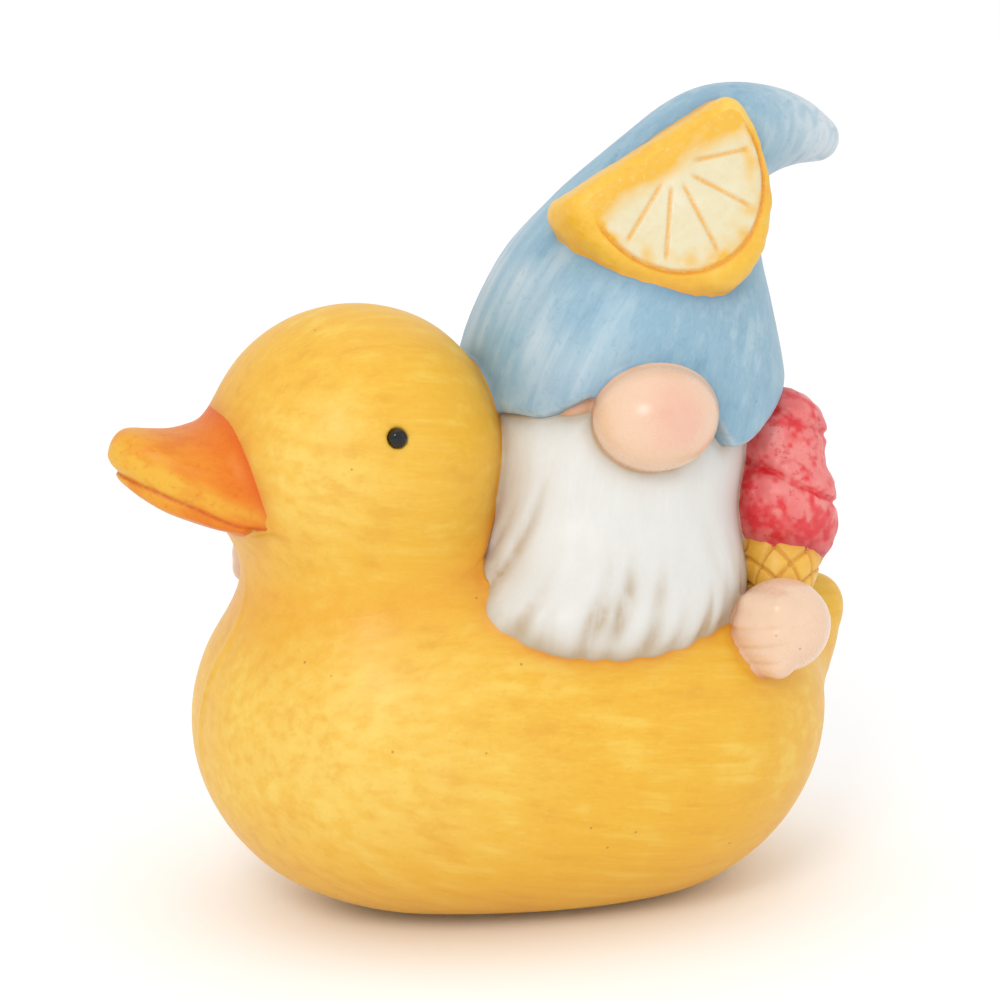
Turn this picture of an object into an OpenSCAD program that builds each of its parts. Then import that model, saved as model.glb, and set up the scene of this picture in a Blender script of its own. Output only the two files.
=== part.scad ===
// A garden gnome riding a bathing duck: a small hollow cast ornament with a hand-painted finish.
// +Z is up, the gnome faces -Y, the duck faces -X, and the origin is the middle of the flat base.
// Each piece is cast alone and joins its neighbours by a round spigot in a socket.

/* [Castings] */
// Wall thickness of the hollow castings
wall = 4.5; // [3.5:0.5:5.5]
// Clearance round a spigot in its socket
socket_gap = 0.15; // [0.05:0.05:0.3]
// Points round each casting
columns = 44; // [32:4:48]

/* [Duck] */
// Length of the duck's body without its tail
duck_length = 117; // [112:1:122]
// Width of the duck's body at the rump
duck_width = 82; // [78:1:86]
// Height of the duck's back over the base
back_height = 69; // [67:1:71]
// Width of the duck's head
head_width = 51; // [48:1:54]
// Length of the beak from the middle of the head
beak_length = 45; // [43:0.5:47]
// Diameter of each eye bead
eye_d = 3.4; // [2.8:0.2:4]
// Diameter of the firing vent in the base
vent_d = 8; // [6:1:10]

/* [Gnome] */
// Radius of the hat at its brim
hat_r = 29.6; // [28.5:0.1:30.5]
// Width of the nose
nose_width = 22.4; // [20:0.2:24]
// Width of the beard
beard_width = 51; // [48:1:53]

/* [Lemon slice] */
// Radius of the slice at its front face
lemon_r = 18.2; // [17:0.2:19]
// Thickness of the slice
lemon_t = 8; // [7:0.5:10]
// Slope of the cut edge, in degrees
lemon_tilt = 28; // [24:1:32]

/* [Ice cream] */
// Radius of the scoop
scoop_r = 9.8; // [9:0.1:10.5]
// Radius of the waffle cone at its rim
cone_r = 8; // [7:0.2:8.6]

/* [Hidden] */

duck_yellow = "#f5c040";
beak_orange = "#ef8a35";
hat_blue = "#9cc3da";
suit_blue = "#7fa9c4";
skin_pink = "#f3cdb4";
beard_white = "#f2efe9";
lemon_yellow = "#f7b52f";
lemon_cream = "#f8e7b0";
scoop_red = "#e2545c";
waffle_tan = "#e9b04a";
bead_black = "#1c1a1a";

// The duck's body is two eggs run together, the chest in front and the rump behind
chest_at = [-20, 0, 34.5];
chest_r = [duck_length / 2 - 20, duck_width / 2 - 4, back_height - 34.5];
rump_at = [16, 0, 32];
rump_r = [duck_length / 2 - 16, duck_width / 2, back_height - 33];
body_mid = [0, 0, 33];
body_far = 80;
vent_x = 18;

head_at = [-29.5, 0, 84.5];
head_r = [head_width / 2 + 0.8, head_width / 2, head_width / 2 + 0.5];
neck_at = [-27.5, 0, 64];
neck_r = [20.2, 21.5, 26];
neck_floor = 74;
neck_spigot_d = 24;
neck_bore_d = 15;
eye_at = [-29.9, 24.05, 92.9];

// Half sections of the beak, from its tip to its root: [x, half width, lip line, top, bottom]
beak_tip_x = head_at[0] - beak_length;
beak_sections = [[beak_tip_x, 4, 87, 90, 86],
                 [beak_tip_x + 1.5, 7, 86, 91.6, 83.6],
                 [-69, 9.8, 83.3, 92, 79.8],
                 [-62, 12.6, 80, 91.2, 76],
                 [-56, 14.5, 77, 92.6, 73.2],
                 [-47, 15.6, 75.5, 97, 71]];
tenon_d = 5;

tail_path = [[60.4, 1, 46.5, 5.4], [54.5, 1, 43, 9], [43, 0, 37, 13]];

// The gnome's body is an egg for the trunk and a ball for the head under the hat
trunk_at = [20, 5, 64];
trunk_r = [25, 23, 29];
skull_at = [20, 0, 90];
skull_r = [22, 20, 17];
seat_floor = 74;
seat_dowel_d = 12;

// The beard is three eggs run together: the whiskers under the brim, the fall and the fringe
whisker_at = [17.3, -3, 84];
whisker_r = [beard_width / 2 - 0.5, 24.3, 17];
fall_at = [15, -10, 70];
fall_r = [beard_width / 2 - 2.2, 19.5, 24];
fringe_at = [8.5, -15, 57.5];
fringe_r = [beard_width / 2 + 3, 22, 13.2];
nose_at = [16.5, -27.5, 93];
nose_r = [nose_width / 2, 10, 9.4];
cheek_at = [9, -20, 96.5];
cheek_r = [8.5, 7.8, 6.5];

// Middle and radius of the hat from the brim to the tip: [x, z, radius]
hat_profile = [[21, 80, hat_r + 0.8], [21, 90, hat_r + 0.4], [21.9, 100, 27.1], [24.5, 109.5, 22.6],
               [27.8, 117.5, 18.5], [31.8, 125.4, 14.6], [36.5, 131.8, 11.9], [41.6, 135.4, 10],
               [47.5, 136.4, 8.2], [53.4, 135.8, 6.4], [58.4, 134, 4.4]];
level_count = 4;
// The hollow stops short of the tip, where the hat is solid
hollow_count = 9;
// Height of the brim's edge round the hat: [angle, z]
brim_edge = [[-180, 90], [-165, 93.3], [-145, 92], [-117, 98.8], [-96, 103], [-80, 100], [-71, 95],
             [-63, 86], [-56, 84], [-40, 87], [-21, 90.5], [0, 88], [90, 82], [180, 90]];

lemon_at = [21.5, -10, 134.1];
lemon_lean = 18;
// The slice flares towards its back and is deeper than half a disc
lemon_flare = 3.5;
lemon_stretch = 1.22;
flesh_stretch = 1.12;
lemon_root = -7;
rind_t = 3;
flesh_depth = 4;

scoop_at = [46, -15.5, 71.5];
scoop_top_at = [46.8, -12, 82];
cone_top = [45.5, -16, 62.5];
cone_foot = [41, -27.5, 52];

hand_left_at = [39.4, -30.5, 53.4];
hand_right_at = [-35.6, 26, 59];
hand_r = [9.3, 8.3, 8.5];
arm_left_path = [[44, -19, 54, 6], [48.5, -2, 57, 7], [42, 4, 67, 8], [32, 5, 73, 9]];
arm_right_path = [[-30, 29, 61, 6.2], [-16, 28, 67, 7], [-3, 20, 72, 8], [10, 10, 74, 9]];

// ---- Shapes as fields: a field is below zero inside its shape, and about a distance in millimetres

function ellipsoid(p, c, r) =
    let (q = [for (i = [0:2]) (p[i] - c[i]) / r[i]],
         g = [for (i = [0:2]) q[i] / r[i]])
    norm(q) * (norm(q) - 1) / max(norm(g), 0.001);

// Two shapes run together with a fillet about k wide
function blend(a, b, k) = let (h = max(k - abs(a - b), 0) / k) min(a, b) - h * h * k / 4;

body_field = function(p) blend(ellipsoid(p, chest_at, chest_r), ellipsoid(p, rump_at, rump_r), 20);
head_field = function(p) blend(ellipsoid(p, head_at, head_r), ellipsoid(p, neck_at, neck_r), 8);
gnome_field = function(p) blend(ellipsoid(p, trunk_at, trunk_r), ellipsoid(p, skull_at, skull_r), 8);
beard_field = function(p)
    blend(blend(ellipsoid(p, fall_at, fall_r), ellipsoid(p, fringe_at, fringe_r), 10),
          ellipsoid(p, whisker_at, whisker_r), 6);
nose_field = function(p) ellipsoid(p, nose_at, nose_r);
cheek_field = function(p) ellipsoid(p, cheek_at, cheek_r);
scoop_field = function(p)
    blend(ellipsoid(p, scoop_at, [scoop_r, 9.4, 10.5]),
          ellipsoid(p, scoop_top_at, [scoop_r - 1.2, 8.4, 9.5]), 3);
hand_field = function(p) ellipsoid(p, [0, 0, 0], hand_r);

// Distance from c along u at which a field grows past the inset
function reach(field, c, u, inset, lo, hi, turns = 13) =
    let (mid = (lo + hi) / 2)
    turns == 0 ? mid
    : field(c + mid * u) + inset < 0 ? reach(field, c, u, inset, mid, hi, turns - 1)
    : reach(field, c, u, inset, lo, mid, turns - 1);

// ---- Closed skins

// Rings of points closed by a point at each end, in order away from the first end
module skin(first, rings, last) {
    n = len(rings[0]);
    m = len(rings);
    spots = concat([first], [for (r = rings) each r], [last]);
    faces = concat(
        [for (j = [0:n - 1]) [0, 1 + (j + 1) % n, 1 + j]],
        [for (i = [0:m - 2], j = [0:n - 1], half = [0:1])
            let (a = 1 + i * n + j, b = 1 + i * n + (j + 1) % n)
            half == 0 ? [a, b, b + n] : [a, b + n, a + n]],
        [for (j = [0:n - 1]) [len(spots) - 1, 1 + (m - 1) * n + j, 1 + (m - 1) * n + (j + 1) % n]]);
    polyhedron(spots, faces, convexity = 6);
}

// The skin of a field, found along rays from a point c inside it, and set in by the inset
module field_skin(field, c, far, cols, rows, inset = 0) {
    up = [0, 0, 1];
    rings = [for (i = [1:rows - 1]) let (tilt = 180 * i / rows)
        [for (j = [0:cols - 1]) let (
            turn = 360 * j / cols,
            u = [sin(tilt) * cos(turn), sin(tilt) * sin(turn), cos(tilt)])
            c + u * reach(field, c, u, inset, 0, far)]];
    skin(c + up * reach(field, c, up, inset, 0, far), rings,
         c - up * reach(field, c, -up, inset, 0, far));
}

function unit(v) = v / norm(v);

// A ring of n points of radius r round c, square to dir
function ring(c, dir, r, n) =
    let (side = unit(cross([0, 1, 0.2], dir)), other = cross(dir, side))
    [for (j = [0:n - 1]) let (t = 360 * j / n) c + r * (cos(t) * side + sin(t) * other)];

function spot(s) = [s[0], s[1], s[2]];

// A limb along [x, y, z, radius] stations with rounded ends
module limb(path, n = 16) {
    k = len(path);
    dirs = [for (i = [0:k - 1]) unit(spot(path[max(i - 1, 0)]) - spot(path[min(i + 1, k - 1)]))];
    cap = [30, 60];
    rings = concat(
        [for (t = cap) ring(spot(path[0]) + dirs[0] * path[0][3] * cos(t), dirs[0], path[0][3] * sin(t), n)],
        [for (i = [0:k - 1]) ring(spot(path[i]), dirs[i], path[i][3], n)],
        [for (t = [60, 30])
            ring(spot(path[k - 1]) - dirs[k - 1] * path[k - 1][3] * cos(t), dirs[k - 1],
                 path[k - 1][3] * sin(t), n)]);
    skin(spot(path[0]) + dirs[0] * path[0][3], rings, spot(path[k - 1]) - dirs[k - 1] * path[k - 1][3]);
}

// A casting, taken as one carved piece
module casting() {
    resize([0, 0, 0]) children();
}

// A round spigot between two points
module peg(a, b, d) {
    run = b - a;
    translate(a)
        rotate([0, acos(run[2] / norm(run)), atan2(run[1], run[0])])
            cylinder(h = norm(run), d = d, $fn = 32);
}

// Everything over a height
module above(z) {
    translate([-100, -100, z])
        cube([200, 200, 200]);
}

// ---- Whole shapes, before their neighbours are cut from them

module body_shape() {
    intersection() {
        field_skin(body_field, body_mid, body_far, columns, 28);
        above(0);
    }
}

module head_shape() {
    field_skin(head_field, [-29, 0, 80], 60, columns - 8, 20);
}

module gnome_shape() {
    field_skin(gnome_field, [20, 3, 76], 60, columns - 12, 18);
}

module beard_shape() {
    field_skin(beard_field, [15, -10, 70], 50, columns - 8, 20);
}

module nose_shape(grow = 0) {
    field_skin(nose_field, nose_at, 20, 26, 15);
    peg(nose_at, [17, -11, 93], tenon_d + 2 * grow);
}

module scoop_shape() {
    field_skin(scoop_field, [46.4, -14, 76], 40, 28, 18);
}

module cone_shape() {
    limb([[cone_top[0], cone_top[1], cone_top[2], cone_r], [cone_foot[0], cone_foot[1], cone_foot[2], 2.5]], 24);
}

module hand_shape(at) {
    translate(at)
        field_skin(hand_field, [0, 0, 0], 20, 24, 14);
}

// Middle and radius of the hat at a height below its bend
function hat_mid(z) = lookup(z, [for (s = hat_profile) [s[1], s[0]]]);
function hat_rad(z) = lookup(z, [for (s = hat_profile) [s[1], s[2]]]);

// The hat as a solid: level rings that drop to the wavy brim, then rings that lean with the tip
module hat_shape(inset = 0) {
    n = columns;
    k = inset > 0 ? hollow_count : len(hat_profile);
    bend_z = hat_profile[level_count - 1][1];
    drops = [0.2, 0.4, 0.6, 0.8, 0.93, 1];
    tip = hat_profile[k - 1];
    tip_at = [tip[0], 0, tip[1]];
    tip_dir = unit([tip[0] - hat_profile[k - 2][0], 0, tip[1] - hat_profile[k - 2][1]]);
    leaning = [for (i = [k - 1:-1:level_count - 1]) let (
        s = hat_profile[i],
        ahead = hat_profile[min(i + 1, k - 1)],
        behind = hat_profile[max(i - 1, 0)],
        dir = i == level_count - 1 ? [0, 0, 1] : unit([ahead[0] - behind[0], 0, ahead[1] - behind[1]]))
        hat_ring([s[0], 0, s[1]], dir, s[2] - inset, n)];
    level = [for (d = drops)
        [for (j = [0:n - 1]) let (
            t = 360 * j / n,
            edge = lookup(t > 180 ? t - 360 : t, brim_edge),
            z = bend_z + (edge - bend_z) * d,
            r = hat_rad(z) - inset)
            [hat_mid(z) + r * cos(t), r * sin(t), z]]];
    round_tip = [for (t = [30, 60])
        hat_ring(tip_at + tip_dir * (tip[2] - inset) * cos(t), tip_dir, (tip[2] - inset) * sin(t), n)];
    skin(tip_at + tip_dir * (tip[2] - inset), concat(round_tip, leaning, level), [20, 0, 92]);
}

// A ring that starts at the hat's +X side, square to a direction in the XZ plane
function hat_ring(c, dir, r, n) =
    let (side = [dir[2], 0, -dir[0]])
    [for (j = [0:n - 1]) let (t = 360 * j / n) c + r * (cos(t) * side + sin(t) * [0, 1, 0])];

// Half of the beak, over its lip line with half = 1 and under it with half = -1
module beak_shape(half) {
    steps = 12;
    rings = [for (s = beak_sections)
        [for (j = [0:steps]) let (
            t = half > 0 ? 180 * j / steps : 180 + 180 * j / steps,
            h = half > 0 ? s[3] - s[2] : s[2] - s[4])
            [s[0], -s[1] * cos(t), s[2] + h * sin(t)]]];
    lift = half > 0 ? 0.4 : -0.4;
    root = beak_sections[len(beak_sections) - 1];
    skin([beak_tip_x - 0.4, 0, beak_sections[0][2] + lift], rings, [root[0], 0, root[2] + half * 5]);
}

// Places the lemon slice's own frame, with its cut edge along X and its face towards +Z
module on_hat() {
    translate(lemon_at)
        rotate([0, -lemon_tilt, 0])
            rotate([90 - lemon_lean, 0, 0])
                children();
}

// Half of an oval disc that widens towards its back, under its cut edge
module half_disc(r, back_r, stretch, z0, z1) {
    intersection() {
        translate([0, 0, z0])
            scale([1, stretch, 1])
                cylinder(h = z1 - z0, r1 = back_r, r2 = r, $fn = 64);
        translate([-50, -100, z0 - 1])
            cube([100, 100, z1 - z0 + 2]);
    }
}

// The flesh fills the slice inside its rim, from the flesh depth out to a height
module flesh_shape(top) {
    on_hat()
        translate([1, -rind_t, 0])
            half_disc(lemon_r - rind_t + 0.2, lemon_r - rind_t + 0.2, flesh_stretch,
                      lemon_t - flesh_depth, top);
}

// ---- Sub-parts

module duck_body() {
    color(duck_yellow)
        casting()
            difference() {
                body_shape();
                intersection() {
                    field_skin(body_field, body_mid, body_far, columns - 12, 18, wall);
                    above(wall);
                }
                peg([-28.5, 0, 50], [-28.5, 0, 80], neck_spigot_d + 2 * socket_gap);
                peg([20, 0, 50], [20, 0, 80], seat_dowel_d + 2 * socket_gap);
                peg([vent_x, 0, -1], [vent_x, 0, wall + 1], vent_d);
                peg([36, 0, 32], [57, 0, 46.5], tenon_d + 2 * socket_gap);
            }
}

module duck_head() {
    color(duck_yellow)
        casting()
            difference() {
                union() {
                    difference() {
                        head_shape();
                        body_shape();
                    }
                    peg([-28.5, 0, 60], [-28.5, 0, 78], neck_spigot_d);
                }
                intersection() {
                    field_skin(head_field, [-29, 0, 80], 60, 28, 14, wall);
                    above(neck_floor);
                }
                peg([-28.5, 0, 55], [-28.5, 0, 80], neck_bore_d);
                beak_tenon(-44, 86, tenon_d + 2 * socket_gap);
                beak_tenon(-44, 76.5, tenon_d + 2 * socket_gap);
                eye(-1, socket_gap);
                eye(1, socket_gap);
            }
}

// The pin by which a half of the beak sits in the head's wall
module beak_tenon(x, z, d) {
    peg([x, 0, z], [x - 14, 0, z], d);
}

module beak_upper() {
    color(beak_orange)
        casting()
            union() {
                difference() {
                    beak_shape(1);
                    head_shape();
                }
                beak_tenon(-49, 86, tenon_d);
            }
}

module beak_lower() {
    color(beak_orange)
        casting()
            union() {
                difference() {
                    beak_shape(-1);
                    head_shape();
                }
                beak_tenon(-48, 76.5 - 1.5, tenon_d - 2);
            }
}

// A bead and its shank, on the side of the head that side gives
module eye(side, grow = 0) {
    at = [eye_at[0], side * eye_at[1], eye_at[2]];
    inward = unit(head_at - at);
    translate(at)
        sphere(d = eye_d + 2 * grow, $fn = 32);
    peg(at, at + inward * 5, 1.4 + 2 * grow);
}

module eye_left() {
    color(bead_black)
        eye(-1);
}

module eye_right() {
    color(bead_black)
        eye(1);
}

module duck_tail() {
    color(duck_yellow)
        casting()
            union() {
                difference() {
                    limb(tail_path, 24);
                    body_shape();
                }
                peg([39, 0, 35], [57, 0, 46.5], tenon_d);
            }
}

module gnome_body() {
    color(suit_blue)
        casting()
            difference() {
                union() {
                    difference() {
                        gnome_shape();
                        body_shape();
                        head_shape();
                    }
                    peg([20, 0, 60], [20, 0, 76], seat_dowel_d);
                }
                intersection() {
                    field_skin(gnome_field, [20, 3, 80], 60, 24, 14, wall);
                    above(seat_floor);
                }
                nose_shape(socket_gap);
            }
}

module face() {
    color(skin_pink)
        casting()
            difference() {
                field_skin(cheek_field, cheek_at, 30, 28, 16);
                gnome_shape();
                beard_shape();
                hat_shape();
                nose_shape();
            }
}

module beard() {
    color(beard_white)
        casting()
            difference() {
                beard_shape();
                gnome_shape();
                body_shape();
                head_shape();
                hat_shape();
                nose_shape();
            }
}

module nose() {
    color(skin_pink)
        casting()
            nose_shape();
}

module hat() {
    color(hat_blue)
        casting()
            difference() {
                hat_shape();
                intersection() {
                    hat_shape(wall);
                    above(101);
                }
                gnome_shape();
                head_shape();
                nose_shape();
            }
}

module lemon_rind() {
    color(lemon_yellow)
        casting()
            difference() {
                on_hat()
                    half_disc(lemon_r, lemon_r + lemon_flare, lemon_stretch, lemon_root, lemon_t);
                hat_shape();
                flesh_shape(lemon_t + 1);
            }
}

module lemon_flesh() {
    color(lemon_cream)
        casting()
            difference() {
                flesh_shape(lemon_t);
                hat_shape();
            }
}

module ice_cream() {
    color(scoop_red)
        casting()
            difference() {
                scoop_shape();
                hat_shape();
                beard_shape();
                gnome_shape();
            }
}

module waffle_cone() {
    color(waffle_tan)
        casting()
            difference() {
                cone_shape();
                scoop_shape();
                beard_shape();
                body_shape();
            }
}

module hand_left() {
    color(skin_pink)
        casting()
            difference() {
                hand_shape(hand_left_at);
                body_shape();
                beard_shape();
                cone_shape();
            }
}

module hand_right() {
    color(skin_pink)
        casting()
            difference() {
                hand_shape(hand_right_at);
                body_shape();
                head_shape();
            }
}

module arm_left() {
    color(suit_blue)
        casting()
            difference() {
                limb(arm_left_path);
                gnome_shape();
                body_shape();
                beard_shape();
                scoop_shape();
                cone_shape();
                hand_shape(hand_left_at);
            }
}

module arm_right() {
    color(suit_blue)
        casting()
            difference() {
                limb(arm_right_path);
                gnome_shape();
                body_shape();
                head_shape();
                hand_shape(hand_right_at);
            }
}

duck_body();
duck_head();
beak_upper();
beak_lower();
eye_left();
eye_right();
duck_tail();
gnome_body();
face();
beard();
nose();
hat();
lemon_rind();
lemon_flesh();
arm_left();
arm_right();
hand_left();
hand_right();
ice_cream();
waffle_cone();
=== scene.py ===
"""Looks for the garden gnome on its bathing duck: cast and hand-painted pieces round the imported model.

Every piece is a closed solid carved from a field, which is a function that is below zero inside the piece
and about a distance in millimetres elsewhere. Neighbours share one smooth skin, as in a casting, and each
piece takes the part of it where its own field is the lowest. Every function of p takes a list of points in
millimetres and gives a value for each.
"""
import math
from concurrent.futures import ThreadPoolExecutor

import bpy
import numpy as np
import openvdb
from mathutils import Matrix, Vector


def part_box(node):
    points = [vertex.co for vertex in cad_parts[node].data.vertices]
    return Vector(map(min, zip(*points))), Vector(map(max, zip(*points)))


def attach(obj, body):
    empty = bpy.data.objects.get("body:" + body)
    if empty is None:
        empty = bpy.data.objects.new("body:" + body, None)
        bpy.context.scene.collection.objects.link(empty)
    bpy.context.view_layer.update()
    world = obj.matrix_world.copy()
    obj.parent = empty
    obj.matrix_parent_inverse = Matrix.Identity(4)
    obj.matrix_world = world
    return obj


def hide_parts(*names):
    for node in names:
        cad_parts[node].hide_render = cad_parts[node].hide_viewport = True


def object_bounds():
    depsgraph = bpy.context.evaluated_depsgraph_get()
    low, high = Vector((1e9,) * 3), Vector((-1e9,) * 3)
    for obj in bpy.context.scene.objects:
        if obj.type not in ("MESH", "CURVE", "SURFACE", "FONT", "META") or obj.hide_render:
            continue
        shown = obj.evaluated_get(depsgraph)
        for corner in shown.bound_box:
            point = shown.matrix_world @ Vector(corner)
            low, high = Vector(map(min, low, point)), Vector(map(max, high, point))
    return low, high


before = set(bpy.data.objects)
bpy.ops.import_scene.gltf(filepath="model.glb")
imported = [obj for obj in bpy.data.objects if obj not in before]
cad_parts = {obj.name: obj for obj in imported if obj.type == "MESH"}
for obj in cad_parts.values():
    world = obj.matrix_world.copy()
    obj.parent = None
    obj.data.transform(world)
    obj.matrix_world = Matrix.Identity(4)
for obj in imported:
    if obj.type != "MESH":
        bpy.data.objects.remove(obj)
CAD_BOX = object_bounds()
MM = 0.001
BODY = "root"
WORKERS = 4
rng = np.random.default_rng(7)


# ---- Places from the frame

class Box:
    """A CAD node's box in millimetres, for places and sizes as shares of it."""

    def __init__(self, node):
        lo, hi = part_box(node)
        self.lo = np.array(lo) / MM
        self.hi = np.array(hi) / MM
        self.size = self.hi - self.lo
        self.mid = (self.lo + self.hi) / 2

    def at(self, x, y, z):
        return self.lo + self.size * (x, y, z)

    def span(self, x, y, z):
        return self.size * (x, y, z)

    def blob(self, middle, radii):
        """An ellipsoid's middle and radii, each given as shares of the box."""
        return self.at(*middle), self.span(*radii)


BOX = {name: Box(name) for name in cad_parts}


# ---- Fields

def ellipsoid(p, centre, radii):
    q = (p - centre) / radii
    near = np.linalg.norm(q, axis=1)
    slope = np.linalg.norm(q / radii, axis=1) + 1e-9
    return near * (near - 1) / slope


def smin(a, b, k):
    """The lower of two fields, with a fillet about k wide."""
    h = np.maximum(k - np.abs(a - b), 0) / k
    return np.minimum(a, b) - h * h * k / 4


def smax(a, b, k):
    return -smin(-a, -b, k)


def step01(x):
    """A smooth step from 0 to 1 as x goes from 0 to 1."""
    t = np.clip(x, 0, 1)
    return t * t * (3 - 2 * t)


def segment(p, a, b, ra, rb):
    """A rod from a to b whose radius goes from ra to rb."""
    a, b = np.asarray(a, float), np.asarray(b, float)
    run = b - a
    t = np.clip((p - a) @ run / (run @ run), 0, 1)
    return np.linalg.norm(p - a - t[:, None] * run, axis=1) - (ra + (rb - ra) * t)


def rods(p, stations, k):
    """Rods through [x, y, z, radius] stations, run together."""
    found = None
    for s, e in zip(stations, stations[1:]):
        rod = segment(p, s[:3], e[:3], s[3], e[3])
        found = rod if found is None else smin(found, rod, k)
    return found


def curve(x, xs, ys):
    """A smooth curve through points, level beyond its ends."""
    xs, ys = np.asarray(xs, float), np.asarray(ys, float)
    slope = np.gradient(ys, xs)
    x = np.clip(x, xs[0], xs[-1])
    i = np.clip(np.searchsorted(xs, x) - 1, 0, len(xs) - 2)
    w = xs[i + 1] - xs[i]
    t = (x - xs[i]) / w
    return ((2 * t**3 - 3 * t**2 + 1) * ys[i] + (t**3 - 2 * t**2 + t) * w * slope[i]
            + (3 * t**2 - 2 * t**3) * ys[i + 1] + (t**3 - t**2) * w * slope[i + 1])


LATTICE_SIDE = 32
LATTICE = rng.random((LATTICE_SIDE, LATTICE_SIDE, LATTICE_SIDE)).astype(np.float32) * 2 - 1


def lumps(p, size):
    """Smooth uneven bumps from -1 to 1, about size apart."""
    q = p / size
    cell = np.floor(q).astype(int)
    f = step01(q - cell)
    total = 0
    for dx in (0, 1):
        for dy in (0, 1):
            for dz in (0, 1):
                c = (cell + (dx, dy, dz)) % LATTICE_SIDE
                w = np.abs(1 - dx - f[:, 0]) * np.abs(1 - dy - f[:, 1]) * np.abs(1 - dz - f[:, 2])
                total = total + w * LATTICE[c[:, 0], c[:, 1], c[:, 2]]
    return total


def bell(x, width):
    return np.exp(-(x / width) ** 2)


# ---- The duck

duck = BOX["duck_body"]
CHEST = duck.blob((0.329, 0.5, 0.491), (0.329, 0.449, 0.491))
RUMP = duck.blob((0.637, 0.5, 0.455), (0.363, 0.4976, 0.512))
BODY_MID = duck.at(0.5, 0.5, 0.47)
BASE_ROUNDING = 4
PARTING_FOOT = duck.at(0, 0, 0.3128)[2]


def parting_line(p):
    """The low ridge that the mould's two halves left down the duck's breast."""
    front = step01((CHEST[0][0] - 10 - p[:, 0]) / 20) * step01((p[:, 2] - PARTING_FOOT) / 12)
    wander = 0.4 * np.sin(p[:, 2] / 5)
    return 0.4 * bell(p[:, 1] - wander, 0.8) * front


def duck_body(p):
    skin = smin(ellipsoid(p, *CHEST), ellipsoid(p, *RUMP), 20)
    skin = skin - parting_line(p) - 0.12 * lumps(p, 9)
    return smax(skin, duck.lo[2] - p[:, 2], BASE_ROUNDING)


head = BOX["duck_head"]
HEAD_R = np.array([head.size[0], head.size[1], head.size[0] * 0.99]) / 2
HEAD_AT = np.array([head.mid[0], head.mid[1], head.hi[2] - HEAD_R[2]])
NECK_AT = HEAD_AT + (2, 0, -20.5)
NECK_R = HEAD_R * (0.76, 0.843, 1.0)
EYE_R = BOX["eye_left"].size[0] / 2
EYE_GAP = 0.1
EYES = {name: np.array([BOX[name].mid[0], edge, BOX[name].hi[2] - EYE_R])
        for name, edge in (("eye_left", BOX["eye_left"].lo[1] + EYE_R),
                           ("eye_right", BOX["eye_right"].hi[1] - EYE_R))}


def duck_head(p):
    skin = smin(ellipsoid(p, HEAD_AT, HEAD_R), ellipsoid(p, NECK_AT, NECK_R), 8) - 0.12 * lumps(p + 40, 8)
    for eye in EYES.values():
        skin = smax(skin, EYE_R + EYE_GAP - np.linalg.norm(p - eye, axis=1), 0.3)
    return skin


TAIL_TIP_R = 5.4
TAIL_TIP = np.array([BOX["duck_tail"].hi[0] - TAIL_TIP_R, 1, BOX["duck_tail"].hi[2] - TAIL_TIP_R])
TAIL_BEND = TAIL_TIP - (5.5, 0, 4.5)
TAIL_ROOT = TAIL_TIP - (16.5, 1, 10.5)
TAIL = [[*TAIL_TIP, TAIL_TIP_R - 0.2], [*TAIL_BEND, 8.8], [*TAIL_ROOT, 13]]


def duck_tail(p):
    return rods(p, TAIL, 5)


beak = BOX["beak_upper"]
BEAK_TIP = beak.lo[0]
# Along the beak from its tip: how far, half width, and the heights of lip line, top and foot from LIP_Z
BEAK_RUN = [-1, 1.5, 5.5, 9, 13, 19, 28]
BEAK_HALF = [4.5, 7.2, 9.8, 11.2, 12.7, 14.3, 14.6]
BEAK_LIP = [-1.6, -2.1, -3.7, -5.2, -7, -9.8, -10.9]
BEAK_TOP = [4.4, 4.9, 5.1, 4.6, 4.2, 5.4, 9.9]
BEAK_FOOT = [-1.9, -3, -6.4, -8.9, -10.8, -12.8, -13]
LIP_Z = HEAD_AT[2] + 2.5
# How bowed the tip is in plan: its cut runs back by this times the square of the distance from the middle
TIP_BOW = 0.09


def lip_line(p):
    return LIP_Z + curve(p[:, 0] - BEAK_TIP, BEAK_RUN, BEAK_LIP)


def bill(p, rise, tall, tip, tip_rounding, root):
    """Half of the beak, from its lip line out to tall, between tip and root along the beak."""
    along = p[:, 0] - BEAK_TIP
    wide = curve(along, BEAK_RUN, BEAK_HALF)
    out = np.abs(p[:, 1]) / wide
    bulge = (out ** 2.3 + np.maximum(rise / tall, 0) ** 1.9) ** (1 / 2.1)
    skin = (bulge - 1) * np.minimum(wide, tall) * 0.7
    skin = smax(skin, -rise, 0.6)
    skin = smax(skin, tip + TIP_BOW * p[:, 1] ** 2 - along, tip_rounding)
    return smax(skin, along - root, 3)


def beak_upper(p):
    lip = lip_line(p)
    top = LIP_Z + curve(p[:, 0] - BEAK_TIP, BEAK_RUN, BEAK_TOP)
    return bill(p, p[:, 2] - lip, top - lip, tip=0.6, tip_rounding=4, root=28)


def beak_lower(p):
    lip = lip_line(p)
    foot = LIP_Z + curve(p[:, 0] - BEAK_TIP, BEAK_RUN, BEAK_FOOT)
    return bill(p, lip - p[:, 2], lip - foot, tip=1.9, tip_rounding=1.4, root=23.2)


# ---- The gnome

hat_box = BOX["hat"]
HAT_R = hat_box.hi[1] - 0.9
HAT_X = hat_box.at(0.399, 0, 0)[0]
HAT_TOP = hat_box.hi[2]
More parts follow.
